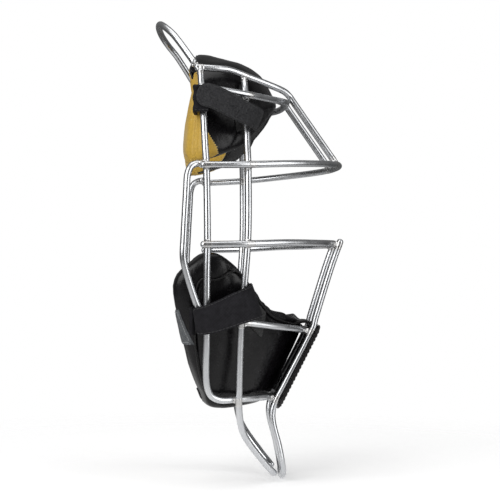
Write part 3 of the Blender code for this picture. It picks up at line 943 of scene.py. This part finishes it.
def forehead_face(skin, clear):
    """The tan leather on the wearer's side, folded over both ends to a pinked edge."""
    outer = np.linspace(FOREHEAD_LOW_SEAM - 1, FOREHEAD_TOP_SEAM, 460)
    inner = np.linspace(FOREHEAD_TOP_SEAM, FOREHEAD_LOW_SEAM, 60)
    bm = bmesh.new()
    lows = np.concatenate((tan_edge(outer), np.full(len(inner) - 2, TAN_INNER_FROM)))
    lows[0] = lows[len(outer) - 1] = TAN_INNER_FROM
    turns = np.concatenate((outer, inner[1:-1]))
    share = np.linspace(0, 1, 80)[:, None] ** 0.9
    for side in (1, -1):
        s = side * (lows + (0.995 - lows) * share)
        tan_sheet(bm, skin, clear, s, np.broadcast_to(turns, s.shape), closed=True)
    s, turn = np.meshgrid(np.linspace(-TAN_INNER_FROM, TAN_INNER_FROM, 150), inner, indexing="ij")
    tan_sheet(bm, skin, clear, s, turn, closed=False)
    bmesh.ops.remove_doubles(bm, verts=bm.verts, dist=0.02 * MM)
    face = finished("forehead_pad_tan_face", bm, TAN, "cage", ["forehead_pad_face"])
    shell = face.modifiers.new("thickness", "SOLIDIFY")
    shell.thickness = TAN_THICKNESS * MM
    shell.offset = -1.0


def tan_sheet(bm, skin, clear, s, turn, closed):
    base, _ = skin.at(s, turn)
    points, normals = skin.at(s, turn, TAN_THICKNESS + 0.35 + tan_creases(s, turn, base))
    points = clear.press(points, normals, 0.3)
    rows = grid_piece(bm, points, closed)
    if closed:
        bm.faces.new(rows[-1])


def forehead_seams(skin, clear):
    seams = (FOREHEAD_TOP_SEAM, FOREHEAD_LOW_SEAM)
    edge_seams("forehead_pad", skin, clear, seams, TAN_INNER_FROM, 80, 0.9)


# ---- the chin pad

CHIN_PUFF = 2.5
CHIN_TOP_SEAM = 0.346
CHIN_LOW_SEAM = 0.654
FOLDED_TURN = 0.19  # the middle of the folds over the mouth bar
BOX_TOP = 0.118  # the edges of the chin pad's boxed outer side, at its middle
BOX_LOW = -0.130
# How far the rear ends of the chin pad are drawn in, as (height, distance).
CHIN_TAPER = (
    (-84, 2.5), (-72, 1.2), (-58, 0), (-20, 0), (-3, -0.8), (6, 0), (16, 2),
)
# The seam round the boxed side, as (s, turn), from the middle's top round the end to its bottom.
BOX_SEAM = (
    (0, BOX_TOP), (0.30, 0.125), (0.48, 0.140), (0.58, 0.118), (0.66, 0.100), (0.73, 0.095),
    (0.79, 0.102), (0.833, 0.098), (0.858, 0.075), (0.872, 0.035), (0.898, -0.020), (0.902, -0.075),
    (0.880, -0.115), (0.80, -0.134), (0.50, BOX_LOW), (0, BOX_LOW),
)


def box_seam():
    return seam_line(BOX_SEAM + tuple((-s, turn) for s, turn in BOX_SEAM[-2:0:-1]) + BOX_SEAM[:1])


def chin_cover(skin, clear):
    """The whole stuffed body, with valleys at its seams and long folds over the mouth bar."""
    s, turn = fine_places(skin, 231, 180)
    base, _ = skin.at(s, turn)
    relief = 0.25 * wave_noise(base, 45.0, 12) + 0.06 * wave_noise(base, 11.0, 13)
    length = np.linspace(-0.90, 0.90, 140)
    uneven = 1 + 0.25 * wave_noise(base, 9.0, 15)
    for seam in (CHIN_TOP_SEAM, CHIN_LOW_SEAM):
        relief += uneven * valley(s, turn, [(place, seam) for place in length], 1.3, 2.4)
    relief += uneven * valley(s, turn, box_seam(), 1.0, 2.2)
    above = (turn - FOLDED_TURN + 0.5) % 1 - 0.5
    folded = np.exp(-((np.abs(s) / 0.36) ** 4)) * np.exp(-((above / 0.07) ** 2))
    unrolled = np.stack((s * HALF_LENGTH * 0.4, turn * GIRTH, 0 * s), -1)
    relief += folded * (1.1 * wave_noise(unrolled, 9.0, 14) + 0.5 * wave_noise(base, 8.0, 16))
    replaced = ["chin_pad_core", "chin_pad_back", "chin_pad_face"]
    cover = leather_cover("chin_pad_cover", skin, clear, s, turn, relief, replaced)
    return cover


def chin_seams(skin, clear):
    edge_seams("chin_pad", skin, clear, (CHIN_TOP_SEAM, CHIN_LOW_SEAM), 0.88, 90, 0.75, box_seam())


def weave_layers(bm):
    """Where each vertex keeps its distance along and over a tape, in metres, for its weave."""
    return bm.verts.layers.float.new("along"), bm.verts.layers.float.new("over")


LABEL_STEPS = 26
LABEL_HALF_WIDTH = 8.0
LABEL_INSET = 2  # steps from the label's edge to its border
LABEL_AIM = Vector((0.93, 0.36, 0.0)).normalized()  # into the pad


def chin_label(cover):
    """A plain woven patch on the rear end of the right arm, with a stitched border."""
    low, high = (np.array(list(corner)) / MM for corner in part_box("chin_pad_label"))
    tree = BVHTree.FromPolygons(
        [v.co / MM for v in cover.data.vertices], [tuple(f.vertices) for f in cover.data.polygons]
    )
    side = Vector((-LABEL_AIM.y, LABEL_AIM.x, 0.0))
    middle = Vector((low + high) / 2)
    half_height = (high[2] - low[2]) / 2
    bm = bmesh.new()
    outer, inner = [], []
    for i in range(LABEL_STEPS + 1):
        tops, bottoms = [], []
        for j in range(LABEL_STEPS + 1):
            u, v = 2 * j / LABEL_STEPS - 1, 2 * i / LABEL_STEPS - 1
            place = middle + side * u * LABEL_HALF_WIDTH + Vector((0, 0, v * half_height))
            start = place - LABEL_AIM * 25
            hit, normal, _, _ = tree.ray_cast(start, LABEL_AIM)
            if hit is None:
                hit, normal, _, _ = tree.find_nearest(start + LABEL_AIM * 25)
            edge = 1 - max(abs(u), abs(v)) ** 12
            tops.append(np.array(hit + normal * (0.35 + 0.7 * edge)))
            bottoms.append(np.array(hit - normal * 0.3))
        outer.append(tops)
        inner.append(bottoms)
    layered(bm, outer, inner)
    along, over = weave_layers(bm)
    for vertex in bm.verts:
        vertex[along] = vertex.co.z
        vertex[over] = vertex.co.y
    finished("chin_pad_label_patch", bm, LABEL, "cage", ["chin_pad_label"])
    far = LABEL_STEPS - LABEL_INSET
    span = range(LABEL_INSET, far)
    ring = [(LABEL_INSET, j) for j in span] + [(i, far) for i in span]
    ring += [(far, LABEL_STEPS - j) for j in span] + [(LABEL_STEPS - i, LABEL_INSET) for i in span]
    ring.append(ring[0])
    border = np.array([outer[i][j] for i, j in ring])
    outwards = np.array([outer[i][j] - inner[i][j] for i, j in ring])
    outwards /= np.linalg.norm(outwards, axis=1, keepdims=True)
    bm = bmesh.new()
    stitches(bm, border, outwards, length=1.5, pitch=2.1, radius=0.2, lift=0.3)
    finished("chin_pad_label_stitches", bm, GREY_THREAD, "cage")


# ---- hook patches and straps


def hook_patch(name, skin, clear, reach, turns):
    s, turn = np.meshgrid(np.linspace(*reach, 24), np.linspace(*turns, 24), indexing="ij")
    inner, normals = skin.at(s, turn, -0.2)
    inner = clear.press(inner, normals, 0.3)
    bm = bmesh.new()
    layered(bm, inner + normals * 1.3, inner)
    finished(name + "_tape", bm, HOOKS, "cage", [name])


STRAP = 2.2
STRAP_SIDES = 20  # points over each face of a strap
LEAN_RUN = 20.0  # a strap turns from upright to its slope within this many millimetres
STITCH_INSET = 1.6
UPPER_HINGE = (-8.6, -78.0, 128.0)
LOWER_HINGE = (-10.0, -82.2, -26.0)
UPPER_ANCHOR = (
    (0.8, -60.4), (0.2, -64), (0.1, -70), (0, -74), (0.8, -76), (2.8, -75.7), (6, -75.4),
    (9.4, -75),
)
UPPER_STRAP = (
    (4, -77, 127.8), (14, -74.8, 123.6), (24, -71.8, 118.6), (30.4, -69.6, 115.8),
    (34, -66.6, 114.3), (35.8, -62.2, 113.4), (36, -57.8, 112.8),
)
LOWER_STRAP = (
    (2, -81.6, -25.4), (12, -79.4, -22), (20.5, -78, -18.5), (28, -76.5, -15.8),
    (32.4, -72.8, -14.2), (34, -67.6, -13.2), (34, -62, -12.6),
)


def strap_piece(
    name, side, body, material, path, widths, slope=0.0, round_end=0.0, loose=0.0, wavy=0.0
):
    """A flat strap with soft edges, its weave lengths and two rows of edge stitching.

    Its width goes evenly from the first of the widths to the second. It bulges and ripples by how loose
    it is, and its section is bent by how wavy it is.
    """
    middle = smooth(path, 0.9)
    runs = [0.0]
    for a, b in zip(middle, middle[1:]):
        runs.append(runs[-1] + (b - a).length)
    last = len(middle) - 1
    bm = bmesh.new()
    along, over = weave_layers(bm)
    rings = []
    edges = {1: ([], []), -1: ([], [])}
    for i, point in enumerate(middle):
        ahead = (middle[min(i + 1, last)] - middle[max(i - 1, 0)]).normalized()
        lean = Vector((-slope * min(1.0, runs[i] / LEAN_RUN), 0.0, 1.0))
        upward = (lean - ahead * lean.dot(ahead)).normalized()
        outward = ahead.cross(upward)
        half = (widths[0] + (widths[1] - widths[0]) * runs[i] / runs[-1]) / 2
        if runs[i] < round_end:
            cut = 1 - runs[i] / round_end
            half -= round_end * (1 - math.sqrt(max(0.0, 1 - cut**2)))
        ripple = 0.25 * math.sin(runs[i] / 3.7)
        ring = []
        for j in range(2 * STRAP_SIDES):
            face, share = face_and_share(j, STRAP_SIDES)
            edge = (1 - abs(share) ** 10) ** 0.5
            bulge = 0.35 * (1 - share**2) + ripple * (1 - share**4)
            offset = face * STRAP / 2 * (0.35 + 0.65 * edge) + bulge * loose
            offset += wavy * math.sin(8.0 * share + 1.0)
            place = point + outward * offset + upward * share * half
            place = place if side > 0 else mirrored(place)
            vertex = bm.verts.new(place * MM)
            vertex[along] = runs[i] * MM
            vertex[over] = share * half * MM
            ring.append(vertex)
        for sign, (spots, normals) in edges.items():
            spot = point + outward * (STRAP / 2 + 0.1) + upward * sign * (half - STITCH_INSET)
            spots.append(list(spot if side > 0 else mirrored(spot)))
            normals.append(list(outward if side > 0 else mirrored(outward)))
        rings.append(ring)
    tube(bm, rings)
    name += "_right" if side > 0 else "_left"
    finished(name + "_fabric", bm, material, body, [name])
    bm = bmesh.new()
    for spots, normals in edges.values():
        stitches(bm, spots, np.array(normals), length=1.7, pitch=2.6, radius=0.2, lift=0.2)
    finished(name + "_stitches", bm, BLACK_THREAD, body)


def straps():
    for side, tag in ((1, "_right"), (-1, "_left")):
        x, y, z = UPPER_HINGE
        path = [(x + ahead, out, z - 1.2) for ahead, out in UPPER_ANCHOR]
        strap_piece("upper_strap_anchor", side, "cage", WEBBING, path, (21.0, 19.0), wavy=0.35)
        path = ((x + 1.5, y + 0.2, z + 2.3), *UPPER_STRAP)
        body = "upper_strap" + tag
        strap_piece("upper_strap", side, body, LOOP, path, (17.5, 15.5), -0.42, 7.5, 0.6)
        x, y, z = LOWER_HINGE
        path = ((x + 0.8, -66.0, z - 1.0), (x - 0.8, -72.0, z - 1.0), (x - 1.0, y + 2.8, z - 1.0))
        strap_piece("lower_strap_anchor", side, "cage", WEBBING, path, (21.0, 20.0))
        path = ((x + 1.5, y + 0.2, z - 1.2), *LOWER_STRAP)
        body = "lower_strap" + tag
        strap_piece("lower_strap", side, body, WEBBING, path, (20.0, 26.0), 0.33, 2.0, 0.5)


# ---- the chin flap

FLAP_HINGE = Vector((82.3, 0.0, -31.6))
FLAP_LENGTH = 68.0
FLAP_HALF = 29.0
FLAP_CORNER = 9.0
FLAP_THICKNESS = 2.4
FLAP_STEPS = 70
FLAP_DOWN = Vector((-20.9, -40.8)).normalized()  # along the front bars, as x and z
HEM = 2.6
TONGUE_SIDES = 48  # points over each face of the flap
NECK_HALF = 19.0
NECK = (
    (61, 0, -31.5), (67, 0, -29.6), (72, 0, -28.9), (76, 0, -29.8),
    (FLAP_HINGE.x - 2, 0, FLAP_HINGE.z),
)


def tongue(name, line, halves, thickness, body, replaced):
    """A soft flat piece that runs along a line in the mid-plane and reaches across the mask."""
    last = len(line) - 1
    bm = bmesh.new()
    rings = []
    for i, (x, z) in enumerate(line):
        ahead = (Vector(line[min(i + 1, last)]) - Vector(line[max(i - 1, 0)])).normalized()
        outward = Vector((-ahead.y, 0.0, ahead.x))
        end = min(i, last - i) / 3
        slim = min(1.0, 0.45 + 0.55 * math.sqrt(min(1.0, end)))
        ring = []
        for j in range(2 * TONGUE_SIDES):
            face, share = face_and_share(j, TONGUE_SIDES)
            edge = (1 - abs(share) ** 16) ** 0.5
            offset = face * thickness / 2 * (0.4 + 0.6 * edge) * slim
            ripple = 0.2 * math.sin(share * 7.0 + i * 0.35) * (1 - share**4)
            place = Vector((x, halves[i] * share, z)) + outward * (offset + ripple * min(1.0, end / 2))
            ring.append(bm.verts.new(place * MM))
        rings.append(ring)
    tube(bm, rings)
    finished(name, bm, BLACK, body, [replaced])


def chin_flap():
    neck = [(p.x, p.z) for p in smooth(NECK, 0.8)]
    tongue("chin_flap_neck_leather", neck, [NECK_HALF] * len(neck), 2.2, "cage", "chin_flap_neck")
    start = Vector((FLAP_HINGE.x, FLAP_HINGE.z))
    line, halves = [], []
    for i in range(FLAP_STEPS + 1):
        run = FLAP_LENGTH * i / FLAP_STEPS
        corner = max(0.0, FLAP_CORNER - min(run, FLAP_LENGTH - run))
        line.append(tuple(start + FLAP_DOWN * run))
        halves.append(FLAP_HALF - FLAP_CORNER + math.sqrt(FLAP_CORNER**2 - corner**2))
    tongue("chin_flap_leather", line, halves, FLAP_THICKNESS, "chin_flap", "chin_flap")
    out = Vector((-FLAP_DOWN.y, FLAP_DOWN.x))
    hem = [(i, -1) for i in range(3, FLAP_STEPS - 2)]
    hem += [(FLAP_STEPS - 3, share) for share in np.linspace(-1, 1, 30)[1:-1]]
    hem += [(i, 1) for i in range(FLAP_STEPS - 3, 2, -1)]
    bm = bmesh.new()
    for face in (1, -1):
        points = []
        for i, share in hem:
            x, z = Vector(line[i]) + out * face * (FLAP_THICKNESS / 2 + 0.05)
            points.append((x, share * (halves[i] - HEM), z))
        normals = np.tile((out.x * face, 0.0, out.y * face), (len(points), 1))
        stitches(bm, points, normals, length=2.0, pitch=3.2, radius=0.22, lift=0.25)
    finished("chin_flap_stitches", bm, BLACK_THREAD, "chin_flap")


# ---- floor, light, camera


FLOOR_RADIUS = 2.2  # in metres, as all lengths from here on
FLOOR_GAP = 0.0004


def floor():
    """A pale round floor that fades into the background."""
    bm = bmesh.new()
    bmesh.ops.create_circle(bm, cap_ends=True, segments=96, radius=FLOOR_RADIUS)
    ground = linked("floor", bm)
    ground.location.z = cad_box[0].z - FLOOR_GAP
    look = Look("floor", 0.75)
    speckle = look.noise(3.0, 3.0)
    look.set(
        Base_Color=look.mixed(speckle, rgb(0.92, 0.92, 0.92), rgb(0.95, 0.95, 0.95)),
        Emission_Color=rgb(1.0, 1.0, 1.0),
        Emission_Strength=0.34,
    )
    distance = look.add("VectorMath", {0: look.place}, operation="LENGTH").outputs["Value"]
    fade = look.between(distance, 0.04, 0.50)
    clear = look.add("BsdfTransparent")
    blend = look.add("MixShader", {0: fade, 1: look.shader.outputs[0], 2: clear.outputs[0]})
    look.feed(look.tree.nodes["Material Output"].inputs["Surface"], blend.outputs[0])
    ground.data.materials.append(look.material)


def sky():
    """White behind the object, and a dimmer room for it to reflect."""
    world = bpy.data.worlds.new("studio")
    world.use_nodes = True
    bpy.context.scene.world = world
    nodes = Nodes(world.node_tree)
    height = nodes.add("SeparateXYZ", {0: nodes.coordinates["Generated"]}).outputs["Z"]
    room = nodes.between(height, -0.2, 0.9, 0.10, 0.22)
    seen = nodes.add("LightPath").outputs["Is Camera Ray"]
    colour = nodes.mixed(seen, room, rgb(1.0, 1.0, 1.0))
    nodes.feed(nodes.tree.nodes["Background"].inputs["Color"], colour)


def aimed(name, data, location, direction):
    thing = bpy.data.objects.new(name, data)
    thing.location = location
    thing.rotation_mode = "QUATERNION"
    thing.rotation_quaternion = direction.to_track_quat("-Z", "Y")
    bpy.context.scene.collection.objects.link(thing)
    return thing


def softbox(name, location, size, watts):
    light = bpy.data.lights.new(name, "AREA")
    light.shape = "RECTANGLE"
    light.size, light.size_y = size
    light.energy = watts
    lamp = aimed(name, light, location, Vector((0.02, 0.0, 0.02)) - Vector(location))
    lamp.visible_camera = False


def lights():
    softbox("key", (-1.15, -1.35, 0.7), (1.5, 1.9), 31)
    softbox("fill", (1.5, -1.0, 0.3), (1.1, 1.9), 16)
    softbox("top", (0.0, -0.3, 1.7), (1.6, 1.2), 12)


def camera():
    data = bpy.data.cameras.new("camera")
    data.sensor_width = 36.0
    data.lens = 96.8
    bpy.context.scene.camera = aimed("camera", data, (0.0, -1.001, 0.0), Vector((0.0320, 1.0, 0.0238)))


def build():
    lines = bar_lines()
    clear = Clearance({name: smooth(line, 0.6) for name, line in lines.items()})
    bars(lines)
    welds(lines)
    forehead = Skin(FOREHEAD_PAD)
    puffed(forehead, (FOREHEAD_TOP_SEAM, FOREHEAD_LOW_SEAM), FOREHEAD_PUFF)
    drawn_in(forehead, FOREHEAD_TAPER)
    forehead_cover(forehead, clear)
    forehead_face(forehead, clear)
    forehead_seams(forehead, clear)
    chin = Skin(CHIN_PAD)
    puffed(chin, (CHIN_TOP_SEAM, CHIN_LOW_SEAM, BOX_TOP, BOX_LOW), CHIN_PUFF)
    drawn_in(chin, CHIN_TAPER)
    cover = chin_cover(chin, clear)
    chin_seams(chin, clear)
    chin_label(cover)
    for side, tag in ((1, "_right"), (-1, "_left")):
        reach = (side * 0.36, side * 0.52)
        hook_patch("upper_hook_patch" + tag, forehead, clear, reach, (-0.09, -0.02))
        reach = (side * 0.30, side * 0.46)
        hook_patch("lower_hook_patch" + tag, chin, clear, reach, (0.05, 0.115))
    straps()
    chin_flap()
    floor()
    sky()
    lights()
    camera()


build()
bpy.context.scene.view_settings.view_transform = "Standard"
